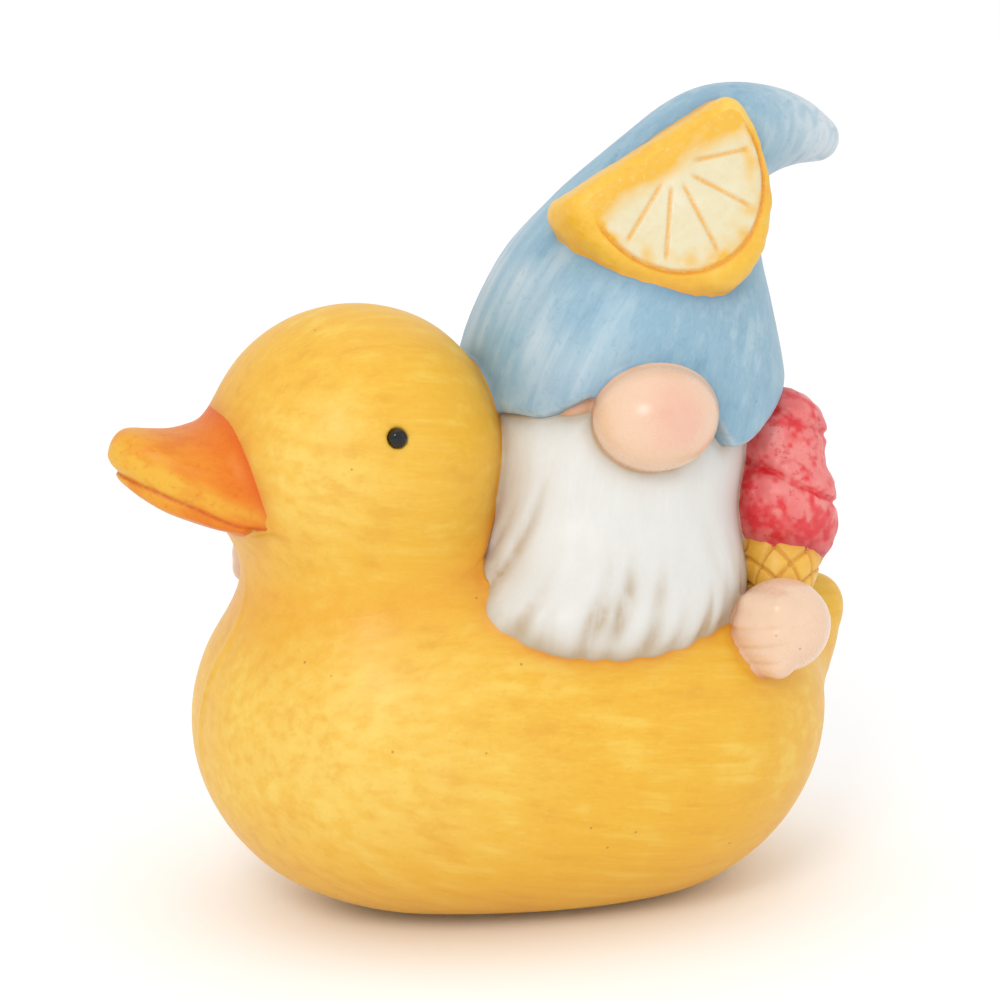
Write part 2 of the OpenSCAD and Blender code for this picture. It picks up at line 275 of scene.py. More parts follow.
# From the brim to the tip: middle's x from the brim's, depth under the top, radius as a share of the brim's
HAT_X_RUN = [0, 0, 0.9, 3.5, 6.8, 10.8, 15.5, 20.6, 26.5, 32.4, 37.6]
HAT_DROP = [64.7, 54.7, 44.7, 35.2, 27.2, 19.3, 12.9, 9.3, 8.3, 8.9, 10.7]
HAT_SHARE = [1.02, 1.01, 0.912, 0.76, 0.623, 0.492, 0.401, 0.337, 0.276, 0.216, 0.148]
# Round the brim: the turn in degrees from the duck's tail, and how high the edge is over the CAD hat's foot
BRIM_TURN = [-180, -165, -152, -139, -130, -122, -110, -98, -84, -77, -69, -64, -50, -38, -21, 0, 45, 90,
             135, 180]
BRIM_RISE = [8.5, 9.2, 9.9, 10.4, 12.6, 14.4, 14, 11.5, 10.5, 9.5, 4, 3.8, 6.3, 8.5, 10.3, 9, 5, 1.5,
             5, 8.5]
BRIM_ROUNDING = 2.4


def hat_axis(count):
    """Points and radii along the hat's bent axis, from the brim to the tip."""
    s = np.linspace(0, len(HAT_DROP) - 1, count)
    k = np.arange(len(HAT_DROP))
    return HAT_X + curve(s, k, HAT_X_RUN), HAT_TOP - curve(s, k, HAT_DROP), HAT_R * curve(s, k, HAT_SHARE)


AXIS_X, AXIS_Z, AXIS_R = hat_axis(56)


def along_hat(p):
    """The hat's plain skin, and how far along its axis each point is, from 0 to 1."""
    best = np.full(len(p), 1e9)
    place = np.zeros(len(p))
    for i in range(len(AXIS_X) - 1):
        run = np.array([AXIS_X[i + 1] - AXIS_X[i], AXIS_Z[i + 1] - AXIS_Z[i]])
        dx, dz = p[:, 0] - AXIS_X[i], p[:, 2] - AXIS_Z[i]
        t = np.clip((dx * run[0] + dz * run[1]) / (run @ run), 0, 1)
        away = np.sqrt((dx - t * run[0]) ** 2 + p[:, 1] ** 2 + (dz - t * run[1]) ** 2)
        d = away - (AXIS_R[i] + (AXIS_R[i + 1] - AXIS_R[i]) * t)
        nearer = d < best
        best = np.where(nearer, d, best)
        place = np.where(nearer, (i + t) / (len(AXIS_X) - 1), place)
    return best, place


def hat_turn(p):
    return np.degrees(np.arctan2(p[:, 1], p[:, 0] - HAT_X))


def over_brim(p):
    """How high each point is over the brim's edge."""
    return p[:, 2] - hat_box.lo[2] - curve(hat_turn(p), BRIM_TURN, BRIM_RISE)


def hat(p):
    """A bent cone with a soft fold by the duck's head. Its brim is cut, but not the tip that droops."""
    skin, place = along_hat(p)
    fold = 0.8 * bell(hat_turn(p) + 150 - 45 * (place - 0.3), 7) * bell(place - 0.36, 0.16)
    skin = skin + fold - 0.25 * lumps(p, 11)
    return np.where(p[:, 2] < HAT_TOP - 30, smax(skin, -over_brim(p), BRIM_ROUNDING), skin)


beard_box = BOX["beard"]
FALL = beard_box.blob((0.5168, 0.4692, 0.3945), (0.4139, 0.3409, 0.5239))
FRINGE = beard_box.blob((0.4014, 0.3818, 0.1216), (0.5063, 0.3846, 0.2882))
WHISKERS = beard_box.blob((0.5577, 0.5916, 0.7001), (0.4441, 0.4249, 0.3711))
BEARD_MID = beard_box.at(0.4813, 0.5741, 0)
LOCKS = 15
# The first locks, by the duck's head, start higher up than the others
HIGH_LOCKS = 4
LOCK_TURNS = np.radians(np.linspace(-176, -22, LOCKS) + rng.uniform(-3, 3, LOCKS))
LOCK_TOPS = beard_box.lo[2] + rng.uniform(10.07, 20.07, LOCKS)
LOCK_TOPS[:HIGH_LOCKS] += 12
LOCK_DEPTHS = rng.uniform(0.25, 0.6, LOCKS)
LOCK_LEAN = 0.012
UPRIGHT_Z = beard_box.at(0, 0, 0.1762)[2]


def locks(p):
    """How deep the grooves between the beard's locks are at each point."""
    lean = LOCK_LEAN * (p[:, 2] - UPRIGHT_Z)
    turn = np.arctan2(p[:, 1] - BEARD_MID[1], p[:, 0] - BEARD_MID[0]) - lean
    depth = 0
    for at, top, deep in zip(LOCK_TURNS, LOCK_TOPS, LOCK_DEPTHS):
        fade = step01((top + 3 - p[:, 2]) / 12)
        depth = depth + deep * fade * bell((turn - at) * 27, 0.8 + 0.7 * fade)
    return depth


def beard(p):
    skin = smin(ellipsoid(p, *FALL), ellipsoid(p, *FRINGE), 10)
    skin = smin(skin, ellipsoid(p, *WHISKERS), 6)
    return skin + locks(p) - 0.2 * lumps(p * (1, 1, 0.35), 4)


NOSE_AT = BOX["nose"].at(0.5, 0, 0.5) + (0, 10, 0)
NOSE_R = (BOX["nose"].size[0] / 2, 9.8, BOX["nose"].size[2] / 2)


def nose(p):
    return ellipsoid(p, NOSE_AT, NOSE_R)


CHEEK = BOX["face"].blob((0.4187, 0.9958, 0.3966), (0.4485, 0.4228, 0.3812))


def face(p):
    return ellipsoid(p, *CHEEK)


COAT = BOX["gnome_body"].blob((0.4942, 0.5196, 0.1383), (0.5094, 0.4819, 0.5828))
SHOULDERS = BOX["gnome_body"].blob((0.4942, 0.4149, 0.6608), (0.4483, 0.4191, 0.3417))


def gnome_body(p):
    return smin(ellipsoid(p, *COAT), ellipsoid(p, *SHOULDERS), 8) - 0.15 * lumps(p, 7)


HAND_L = BOX["hand_left"].mid + (0, -0.06, 0.09)
HAND_R = BOX["hand_right"].mid + (-0.2, -0.2, -0.18)
# Each arm from its wrist to its shoulder: x, y and z from the hand's middle, and radius
SLEEVES = {"arm_left": (HAND_L, [[4.6, 11.7, 0.5, 6], [9.1, 28.7, 3.5, 7], [2.6, 34.7, 13.5, 8],
                                 [-7.4, 35.7, 19.5, 9]]),
           "arm_right": (HAND_R, [[5.8, 3, 2, 6.2], [19.8, 2, 8, 7], [32.8, -6, 13, 8],
                                  [45.8, -16, 15, 9]])}


def sleeve(p, name):
    """An arm whose cuff is a roll with a crease behind it."""
    hand, steps = SLEEVES[name]
    stations = [[*(hand + step[:3]), step[3]] for step in steps]
    wrist, elbow = (np.array(station[:3]) for station in stations[:2])
    back = (elbow - wrist) / np.linalg.norm(elbow - wrist)
    along = (p - wrist) @ back
    cuff = 0.7 * bell(along - 2, 1.6) - 0.35 * bell(along - 5, 1.0)
    return rods(p, stations, 6) - cuff - 0.3 * lumps(p * (1, 1, 0.6), 5)


def arm_left(p):
    return sleeve(p, "arm_left")


def arm_right(p):
    return sleeve(p, "arm_right")


def hand_left(p):
    """A fist with four short fingers that curl towards the beard, and a crease between each two."""
    skin = ellipsoid(p, HAND_L, BOX["hand_left"].span(0.4838, 0.49, 0.4945))
    for rise in (4.2, 1.0, -2.3, -5.2):
        root = HAND_L + (-2.5, -4.6, rise)
        tip = HAND_L + (-7.4 + abs(rise) * 0.3, -0.8, rise * 1.1)
        skin = smin(skin, segment(p, root, tip, 2.9, 2.2), 1.6)
    q = p - HAND_L
    for rise in (2.9, -0.5, -3.7):
        skin = skin + 0.35 * bell(q[:, 2] - rise - 0.25 * q[:, 0], 0.55) * step01((-1.5 - q[:, 0]) / 3)
    return skin - 0.1 * lumps(p, 4)


def hand_right(p):
    skin = ellipsoid(p, HAND_R, BOX["hand_right"].span(0.4086, 0.4446, 0.4446))
    for rise in (4, 1, -2):
        skin = smin(skin, segment(p, HAND_R + (-2, 3, rise), HAND_R + (-6, -1, rise), 2.6, 2.2), 1.3)
    return skin


ice = BOX["ice_cream"]
SCOOP = ice.blob((0.4911, 0.4410, 0.3441), (0.5124, 0.4419, 0.3465))
SCOOP_TOP = ice.blob((0.5329, 0.6055, 0.6907), (0.4497, 0.3949, 0.3135))
SCOOP_LIP = ice.blob((0.7003, 0.3940, 0.1560), (0.2719, 0.2820, 0.1584))
# How far the creases fall to the right for each millimetre, their heights over the scoop's middle and depths
CREASE_FALL = 0.52
CREASES = ((16.1, 0.7), (4.9, 0.8))


def scoops(p):
    return smin(smin(ellipsoid(p, *SCOOP), ellipsoid(p, *SCOOP_TOP), 3), ellipsoid(p, *SCOOP_LIP), 4)


def ice_cream(p):
    """Turns of soft ice that bulge over creases, and fall to the right."""
    skin = scoops(p)
    q = p - SCOOP[0]
    for level, deep in CREASES:
        over = q[:, 2] + CREASE_FALL * q[:, 0] - level - 0.8 * lumps(p, 6)
        skin = skin + deep * bell(over, 0.8) - 0.55 * deep * bell(over - 2.6, 2.2)
    return skin - 0.3 * lumps(p, 3.2) - 0.14 * lumps(p + 9, 1.3)


cone = BOX["waffle_cone"]
CONE_RIM = cone.at(0.4727, 0.6295, 0.8131)
CONE_FOOT = cone.at(0.1971, 0.1115, 0.1224)
CONE_RIM_R, CONE_FOOT_R = 8.4, 3.0
# The waffle's lines: how far apart, how steep, and the radius at which turns are measured as lengths
WAFFLE_STEP = 6.3
WAFFLE_SLOPE = 1.05
WAFFLE_R = 7


def cone_place(p):
    """Along the cone from its rim, and round it."""
    run = CONE_FOOT - CONE_RIM
    run = run / np.linalg.norm(run)
    side = np.cross(run, (0, 1, 0))
    side = side / np.linalg.norm(side)
    other = np.cross(run, side)
    q = p - CONE_RIM
    return q @ run, np.arctan2(q @ other, q @ side)


def waffle_lines(p, width):
    """Two sets of lines that cross, from 0 to 1 or to 2 where they cross."""
    along, turn = cone_place(p)
    lines = 0
    for way in (1, -1):
        step = (turn * WAFFLE_R + way * along * WAFFLE_SLOPE) / WAFFLE_STEP
        lines = lines + bell((step - np.round(step)) * WAFFLE_STEP, width) * step01((along - 0.5) / 1.5)
    return lines


def waffle_cone(p):
    rim_roll = 0.3 * bell(cone_place(p)[0] + 0.5, 1.3)
    skin = segment(p, CONE_RIM, CONE_FOOT, CONE_RIM_R, CONE_FOOT_R)
    return skin + 0.5 * waffle_lines(p, 0.42) - rim_roll - 0.15 * lumps(p, 3)


# ---- The lemon slice, in its own frame: a along the cut edge, b down away from it, h out from the hat

# How far its cut edge rises to the right, and how far its face looks up
LEMON_TILT = math.radians(28)
LEMON_LEAN = math.radians(18)
LEMON_AT = BOX["lemon_rind"].at(0.4355, 0.6849, 0.6555)
# How far the slice's face stands out from LEMON_AT, and how deep its flesh goes
LEMON_OUT = 8.2
FLESH_DEPTH = 3
FLESH_MID = (1.2, 3.0)
FLESH_R = (15.9, 18.2)
SEGMENTS_MID = (1.95, 2.3)
SEGMENT_TURNS = np.radians([20, 59, 94, 127, 154])


def slice_place(p):
    ct, st = math.cos(LEMON_TILT), math.sin(LEMON_TILT)
    cl, sl = math.cos(LEMON_LEAN), math.sin(LEMON_LEAN)
    q = p - LEMON_AT
    return q @ (ct, 0, st), q @ (st * cl, -sl, -ct * cl), q @ (-st * sl, -cl, ct * sl)


def rim_gap(a, b):
    """How far outside the flesh's oval edge a place on the face is."""
    return (np.hypot((a - FLESH_MID[0]) / FLESH_R[0], (b - FLESH_MID[1]) / FLESH_R[1]) - 1) * 17


def rim_line(p, width):
    a, b, h = slice_place(p)
    return bell(rim_gap(a, b), width) * step01((b - 2) / 4) * step01((h - 4) / 2)


def segment_lines(p, width):
    a, b, h = slice_place(p)
    x, y = a - SEGMENTS_MID[0], b - SEGMENTS_MID[1]
    out, turn = np.hypot(x, y), np.arctan2(y, x)
    reach = step01((out - 3) / 2) * step01((-1.2 - rim_gap(a, b)) / 1.5)
    return np.clip(sum(bell((turn - at) * out, width) for at in SEGMENT_TURNS), 0, 1) * reach


def lemon_slice(p):
    """The whole slice: it flares towards its back, and its edges are well rounded."""
    a, b, h = slice_place(p)
    grow = np.clip(h / 8, 0, 1)
    wide, deep = 19.4 - 1.3 * grow, 27 - 1.2 * grow
    skin = (np.hypot((a + 0.2 - 0.9 * grow) / wide, b / deep) - 1) * (wide + deep) / 2
    skin = smax(skin, -b - 2.8, 4)
    skin = smax(skin, h - LEMON_OUT, 4.5)
    skin = smax(skin, -h - 5, 1)
    marks = 0.55 * rim_line(p, 0.45) + 0.4 * segment_lines(p, 0.42)
    return skin + marks - 0.15 * lumps(p, 4) - 0.12 * lumps(p, 1.5)


def flesh_plug(p):
    """What the flesh takes out of the whole slice."""
    a, b, h = slice_place(p)
    return np.maximum(smax(rim_gap(a, b), -0.6 - b, 2), LEMON_OUT - FLESH_DEPTH - h)


def lemon_rind(p):
    return np.maximum(lemon_slice(p), -flesh_plug(p))


def lemon_flesh(p):
    return np.maximum(lemon_slice(p), flesh_plug(p))


# ---- Which pieces meet, and how wide the fillet between them is

MEETINGS = {
    ("duck_body", "duck_head"): 9, ("duck_body", "duck_tail"): 7, ("duck_body", "beard"): 1.6,
    ("duck_body", "gnome_body"): 1.6, ("duck_body", "hand_left"): 1.2, ("duck_body", "hand_right"): 1.2,
    ("duck_body", "arm_left"): 1.4, ("duck_body", "arm_right"): 1.4, ("duck_body", "waffle_cone"): 1,
    ("duck_head", "beak_upper"): 3, ("duck_head", "beak_lower"): 3, ("duck_head", "beard"): 1.2,
    ("duck_head", "hat"): 1.2, ("duck_head", "gnome_body"): 1.2, ("duck_head", "hand_right"): 1.2,
    ("duck_head", "arm_right"): 1.4, ("beak_upper", "beak_lower"): 0.7, ("hat", "beard"): 1.2,
    ("hat", "nose"): 1.3, ("hat", "face"): 1.0, ("hat", "gnome_body"): 1.2, ("hat", "lemon_rind"): 0.8,
    ("hat", "ice_cream"): 0.8, ("beard", "nose"): 1.3, ("beard", "face"): 1.0, ("beard", "gnome_body"): 1.2,
    ("beard", "ice_cream"): 1.0, ("beard", "waffle_cone"): 1.0, ("beard", "hand_left"): 1.2,
    ("beard", "arm_left"): 1.2, ("nose", "face"): 1.4, ("ice_cream", "waffle_cone"): 0.8,
    ("ice_cream", "arm_left"): 1.0, ("ice_cream", "gnome_body"): 1.0, ("waffle_cone", "hand_left"): 0.7,
    ("waffle_cone", "arm_left"): 1.0, ("arm_left", "gnome_body"): 3, ("arm_right", "gnome_body"): 3,
    ("arm_left", "hand_left"): 1.0, ("arm_right", "hand_right"): 1.0, ("duck_tail", "arm_left"): 1.0,
    ("lemon_rind", "lemon_flesh"): 0.1,
}
FIELDS = {f.__name__: f for f in (
    duck_body, duck_head, duck_tail, beak_upper, beak_lower, gnome_body, face, beard, nose, hat, lemon_rind,
    lemon_flesh, arm_left, arm_right, hand_left, hand_right, ice_cream, waffle_cone)}
# The two parts of the lemon slice have an incised line between them, and no seam wash or painted shade
LEMON = {"lemon_rind", "lemon_flesh"}
# How far a piece runs on under its neighbour past their seam, and how deep it has sunk by then
UNDERLAP = 0.8
SINK = 0.16
FAR = 99.0


def neighbours(name):
    """The pieces that a piece meets, and the widths of the fillets between them."""
    return [(b if a == name else a, k) for (a, b), k in MEETINGS.items() if name in (a, b)]


def share(name):
    """One casting's share of the smooth whole: its field, and the gap to neighbours of another paint."""
    own_field = FIELDS[name]
    near = neighbours(name)
    # Neighbours of the same paint, and the lemon's two parts, give no seam wash or painted shade
    no_wash_or_shade = [other for other, k in near if LOOKS[other][0] == LOOKS[name][0] or {name, other} == LEMON]

    def both(p):
        own = own_field(p)
        whole = own
        rest = np.full(len(p), FAR)
        other_paint = rest
        for other, k in near:
            theirs = FIELDS[other](p)
            whole = smin(whole, theirs, k)
            rest = np.minimum(rest, theirs)
            if other not in no_wash_or_shade:
                other_paint = np.minimum(other_paint, theirs)
        over = own - rest
        field = np.maximum(whole + SINK * np.clip(over / UNDERLAP, 0, 1), over - UNDERLAP)
        return field, other_paint - own

    return both


# ---- From a field to a mesh

# Grid cells along a block's side
BLOCK = 8
# A point where the field is nearly flat, as at a sharp groove, isn't thrown far off: the least slope squared
# that is reckoned with, and the longest move in cells
LEAST_STEEP = 0.3
LONGEST_SHIFT = 0.5


def spread(work, items):
    """The results of work on each item, in order, by a few threads."""
    with ThreadPoolExecutor(WORKERS) as pool:
        return list(pool.map(work, items))


def sample(field, lo, hi, cell):
    """The field on a grid, worked out only in the blocks near its skin."""
    n = np.ceil((hi - lo) / (cell * BLOCK)).astype(int)
    blocks = np.stack(np.meshgrid(*[np.arange(k) for k in n], indexing="ij"), -1).reshape(-1, 3)
    middles = lo + (blocks + 0.5) * BLOCK * cell
    coarse = np.concatenate(spread(lambda part: field(part)[0], np.array_split(middles, WORKERS * 2)))
    half = BLOCK * cell * math.sqrt(3) / 2
    grid = np.where(coarse < 0, -half, half).astype(np.float32)
    dense = np.broadcast_to(grid.reshape(*n, 1, 1, 1), (*n, BLOCK, BLOCK, BLOCK))
    dense = np.ascontiguousarray(dense.transpose(0, 3, 1, 4, 2, 5))
    # The fields aren't quite distances, so a block is worked out if its middle is well within reach
    near = blocks[np.abs(coarse) < half * 1.5 + UNDERLAP]
    steps = np.stack(np.meshgrid(*[np.arange(BLOCK)] * 3, indexing="ij"), -1).reshape(-1, 3)

    def fill(part):
        p = lo + ((part[:, None] * BLOCK + steps[None]) * cell).reshape(-1, 3)
        return part, field(p)[0].reshape(-1, BLOCK, BLOCK, BLOCK)

    for part, values in spread(fill, np.array_split(near, max(1, len(near) // 120))):
        dense[part[:, 0], :, part[:, 1], :, part[:, 2], :] = values
    return dense.reshape(n * BLOCK)


def slopes(field, p):
    """The field's values at points, and its slopes there along x, y and z."""
    reach = 0.12
    parts = np.array_split(p, max(1, len(p) // 20000))

    def work(q):
        value = field(q)[0]
        grad = np.stack([field(q + step)[0] - field(q - step)[0] for step in np.eye(3) * reach], 1)
        return value, grad / (2 * reach)

    found = spread(work, parts)
    return np.concatenate([f[0] for f in found]), np.concatenate([f[1] for f in found])


def carve(field, lo, hi, cell):
    """Points in millimetres, each moved once onto the field's skin, and four-sided faces."""
    lo, hi = np.asarray(lo, float) - 2 * cell, np.asarray(hi, float) + 2 * cell
    grid = openvdb.FloatGrid(9.0)
    grid.copyFromArray(sample(field, lo, hi, cell))
    points, quads = grid.convertToQuads(0.0)
    points = lo + points.astype(float) * cell
    value, grad = slopes(field, points)
    steep = np.maximum((grad ** 2).sum(1), LEAST_STEEP)
    shift = -(value / steep)[:, None] * grad
    length = np.linalg.norm(shift, axis=1, keepdims=True)
    points = points + shift * np.minimum(1, LONGEST_SHIFT * cell / np.maximum(length, 1e-9))
    corner = points[quads]
    normal = np.cross(corner[:, 1] - corner[:, 0], corner[:, 2] - corner[:, 0])
    outward = (normal * grad[quads[:, 0]]).sum()
    return points, quads if outward > 0 else quads[:, ::-1]


def add_value(mesh, name, values):
    kind = "FLOAT_VECTOR" if values.ndim == 2 else "FLOAT"
    layer = mesh.attributes.new(name, kind, "POINT")
    layer.data.foreach_set("vector" if values.ndim == 2 else "value", values.astype(np.float32).ravel())


def piece(name, node, points, faces, material, values):
    """A finished piece that stands for its CAD node."""
    mesh = bpy.data.meshes.new(name)
    mesh.from_pydata((points * MM).tolist(), [], faces.tolist())
    mesh.validate()
    mesh.shade_smooth()
    for label, data in values.items():
        add_value(mesh, label, data)
    mesh.materials.append(material)
    made = bpy.data.objects.new(name, mesh)
    bpy.context.scene.collection.objects.link(made)
    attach(made, BODY)
    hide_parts(node)
    return made


# ---- How the brush ran: a place in millimetres across the strokes, and squeezed along them

SQUEEZE = 0.07
DUCK_BRUSH = (1, 0.15, -0.17)
BEAK_BRUSH = (1, 0, -0.5)
# Where a piece has no strokes, its places are shrunk by this, so that bristles become soft patches
SOFT = 0.3


def straight_strokes(p, direction):
    """Places squeezed along one direction, so that noise over them runs out in streaks."""
    direction = np.asarray(direction, float)
    direction = direction / np.linalg.norm(direction)
    along = p @ direction
    return p - direction * (along * (1 - SQUEEZE))[:, None]


STROKES = {
    "duck_body": lambda p: straight_strokes(p, DUCK_BRUSH),
    "duck_head": lambda p: straight_strokes(p, DUCK_BRUSH),
    "duck_tail": lambda p: straight_strokes(p, DUCK_BRUSH),
    "beak_upper": lambda p: straight_strokes(p, BEAK_BRUSH),
    "beak_lower": lambda p: straight_strokes(p, BEAK_BRUSH),
    "hat": lambda p: straight_strokes(p, (0.45, 0, 0.9)),
    "beard": lambda p: straight_strokes(p, (0.1, 0, 1)),
    "gnome_body": lambda p: straight_strokes(p, (0, 0, 1)),
    "arm_left": lambda p: straight_strokes(p, (0, 1, 1)),
    "arm_right": lambda p: straight_strokes(p, (1, 0, 0.2)),
    "waffle_cone": lambda p: straight_strokes(p, (1, 0, 0)),
}


# ---- Second tones and lines, some of them painted highlights and painted shade: how far a piece's paint has changed, from 0 to wholly at 1 or more

def beak_tip_and_highlight(p):
    """Yellow at the beak's tip, and a painted highlight along the edge over its lip line, which fades
    towards the head.
    """
    along = (p[:, 0] - BEAK_TIP) / 22
    # A painted highlight along the rounded edge over the lip line
    edge = 0.95 * bell(p[:, 2] - lip_line(p) - 2.4, 2.2)
    return 0.8 * np.clip(1.0 - along * 1.25, 0, 1) + edge * np.clip(1.1 - 0.45 * along, 0, 1)


def mouth_line(p):
    return 0.85 * bell(p[:, 2] - lip_line(p), 0.4)


BLUSH_AT = NOSE_AT + (-0.2, -9.4, 2.0)


def nose_blush(p):
    return bell(np.linalg.norm((p - BLUSH_AT) * (1, 0.5, 1), axis=1), 5.5)


def hat_tip(p):
    """Whitish dry-brushed paint at the hat's tip and up its left side."""
    tip = step01((p[:, 0] - HAT_X - 21) / 18) * step01((p[:, 2] - HAT_TOP + 27) / 8)
    left = step01((HAT_X - 4 - p[:, 0]) / 14) * (0.15 + 0.6 * lumps(p * (1, 1, 0.4), 5))
    return np.clip(tip + left, 0, 1)


def brim_line(p):
    return 0.7 * bell(over_brim(p) - 0.5, 0.55)


NECK_FOOT = duck.at(0, 0, 0.5688)[2]
LOW_SHADE_Z = duck.at(0, 0, 0.4835)[2]


def neck_and_base_shade(p):
    """Painted shade: the duck's paint is deeper in the crease round its neck and towards its base."""
    neck = 0.6 * bell(duck_body(p) - duck_head(p), 6) * step01((p[:, 2] - NECK_FOOT) / 10)
    return np.clip(neck + 0.25 * step01((LOW_SHADE_Z - p[:, 2]) / LOW_SHADE_Z), 0, 1)


BEARD_SIDE_SHADE_X = beard_box.hi[0] - 10.2
DARKER_GROOVES_Z = beard_box.at(0, 0, 0.5254)[2]


def beard_wash_and_shade(p):
    """Brown wash in the grooves between locks, darker low down, and painted shade against the duck and up
    the side by the ice cream.
    """
    # Painted shade against the duck's head and body, and up the right side by the ice cream
    beside = 0.5 * np.exp(-np.maximum(duck_head(p), 0) / 4) + 0.4 * np.exp(-np.maximum(duck_body(p), 0) / 3)
    right = 0.5 * step01((p[:, 0] - BEARD_SIDE_SHADE_X) / 6)
    low = step01((DARKER_GROOVES_Z - p[:, 2]) / 16)
    return np.clip((locks(p) * (0.4 + 1.5 * low) + beside + right) * (0.9 + 0.6 * lumps(p, 5)), 0, 1)


def rim_yellow(p):
    """The flesh turns from cream to yellow towards its rim and its cut edge."""
    a, b, h = slice_place(p)
    near = 0.5 * step01((rim_gap(a, b) + 5) / 5) * (0.7 + 1.3 * lumps(p, 1.9))
    return np.clip(near, 0, 1) + step01((5.5 - b) / 5.5)


def scoop_crackle(p):
    """Pale crackle, more of it on the bulges."""
    return np.clip(0.25 + (scoops(p) + 0.3) * 1.2 + 1.1 * lumps(p, 1.9) + 0.8 * lumps(p + 5, 0.9), 0, 1)


def waffle_grooves(p):
    return np.clip(waffle_lines(p, 0.5), 0, 1)


def lemon_lines(p):
    return np.clip(0.9 * rim_line(p, 0.45) + 0.85 * segment_lines(p, 0.36), 0, 1)


def duck_painted_highlight(p):
    """Painted highlights: the paler patches of sheen on the duck's breast and the side of its head."""
    breast = bell(np.linalg.norm((p - BODY_MID - (-38, -24, 4)) * (0.8, 0.8, 1), axis=1), 22)
    cheek = bell(np.linalg.norm(p - HEAD_AT - (-12, -18, 2), axis=1), 13)
    return np.clip(breast + cheek, 0, 1)


TONES = {
    "duck_body": duck_painted_highlight, "duck_head": duck_painted_highlight, "duck_tail": duck_painted_highlight, "beak_upper": beak_tip_and_highlight,
    "beak_lower": beak_tip_and_highlight, "nose": nose_blush, "hat": hat_tip, "beard": beard_wash_and_shade,
    "lemon_flesh": rim_yellow, "ice_cream": scoop_crackle, "waffle_cone": waffle_grooves,
}
# On the duck the line is painted shade round its neck and towards its base
LINES = {
    "duck_body": neck_and_base_shade, "duck_head": neck_and_base_shade, "beak_upper": mouth_line, "beak_lower": mouth_line,
    "hat": brim_line, "lemon_flesh": lemon_lines, "lemon_rind": lemon_lines,
}


# ---- Materials

# The light makes a surface this much brighter than its paint, so paint is darkened to match
PAINT_SHARE = 0.81


def srgb(r, g, b):
    """A paint's screen colour from 0 to 255 as linear light."""
    return tuple(PAINT_SHARE * ((c / 255 + 0.055) / 1.055) ** 2.4 for c in (r, g, b)) + (1,)


class Paint:
    """A material whose nodes are built by short calls."""

    def __init__(self, name):
        self.material = bpy.data.materials.new(name)
        self.material.use_nodes = True
        self.tree = self.material.node_tree
        self.shader = self.tree.nodes["Principled BSDF"]
        self.place = self.node("ShaderNodeTexCoord").outputs["Object"]

    def link(self, source, socket):
        self.tree.links.new(source, self.shader.inputs[socket])

    def set(self, socket, value):
        self.shader.inputs[socket].default_value = value

    def node(self, kind, links=(), values=(), **props):
        made = self.tree.nodes.new(kind)
        for key, value in props.items():
            setattr(made, key, value)
        for socket, value in dict(values).items():
            made.inputs[socket].default_value = value
        for socket, source in dict(links).items():
            self.tree.links.new(source, made.inputs[socket])
        return made

    def layer(self, name):
        return self.node("ShaderNodeAttribute", attribute_name=name)

    def noise(self, vector, scale, detail=2.0, rough=0.5):
        return self.node("ShaderNodeTexNoise", {"Vector": vector},
                         {"Scale": scale, "Detail": detail, "Roughness": rough}).outputs["Fac"]

    def sums(self, operation, a, b, clamp=False):
        made = self.node("ShaderNodeMath", operation=operation, use_clamp=clamp)
        for socket, value in enumerate((a, b)):
            if isinstance(value, (int, float)):
                made.inputs[socket].default_value = value
            else:
                self.tree.links.new(value, made.inputs[socket])
        return made.outputs[0]

    def range(self, value, low, high, to_low=0.0, to_high=1.0):
        return self.node("ShaderNodeMapRange", {"Value": value},
                         {"From Min": low, "From Max": high, "To Min": to_low, "To Max": to_high},
                         interpolation_type="SMOOTHSTEP").outputs["Result"]

    def mix(self, amount, a, b):
        made = self.node("ShaderNodeMix", data_type="RGBA")
        for socket, value in ((0, amount), (6, a), (7, b)):
            if isinstance(value, (tuple, float, int)):
                made.inputs[socket].default_value = value
            else:
                self.tree.links.new(value, made.inputs[socket])
        return made.outputs[2]


def brushed(paint, base, light, dark, bristle, patches):
    """Patches and bristle streaks of three colours: the colour, and the streaks that it came from."""
    strokes = paint.layer("stroke").outputs["Vector"]
    fine = paint.noise(strokes, 2.1, 4.0, 0.62)
    broad = paint.noise(strokes, 0.42, 2.0)
    patch = paint.noise(paint.place, 75.0, 3.0, 0.55)
    blend = paint.sums("ADD", paint.sums("MULTIPLY", broad, 0.5), paint.sums("MULTIPLY", patch, 0.5))
    thick = paint.sums("MULTIPLY", paint.range(blend, 0.5, 0.68), patches)
    colour = paint.mix(thick, base, light)
    thin = paint.range(paint.sums("SUBTRACT", 1.0, blend), 0.5, 0.7)
    colour = paint.mix(paint.sums("MULTIPLY", thin, patches * 0.9), colour, dark)
    colour = paint.mix(paint.sums("MULTIPLY", paint.range(fine, 0.52, 0.7), bristle), colour, light)
    colour = paint.mix(paint.sums("MULTIPLY", paint.range(fine, 0.48, 0.32), bristle * 0.7), colour, dark)
    return colour, fine, broad, patch


def pinholes(paint):
    """Tiny dark pits, in a few of the cells of a Voronoi pattern, from 0 to 1."""
    cells = paint.node("ShaderNodeTexVoronoi", {"Vector": paint.place}, {"Scale": 210.0})
    dot = paint.range(cells.outputs["Distance"], 0.07, 0.03)
    rare = paint.range(paint.sums("ADD", cells.outputs["Color"], 0.0), 0.7, 0.72)
    return paint.sums("MULTIPLY", dot, rare)


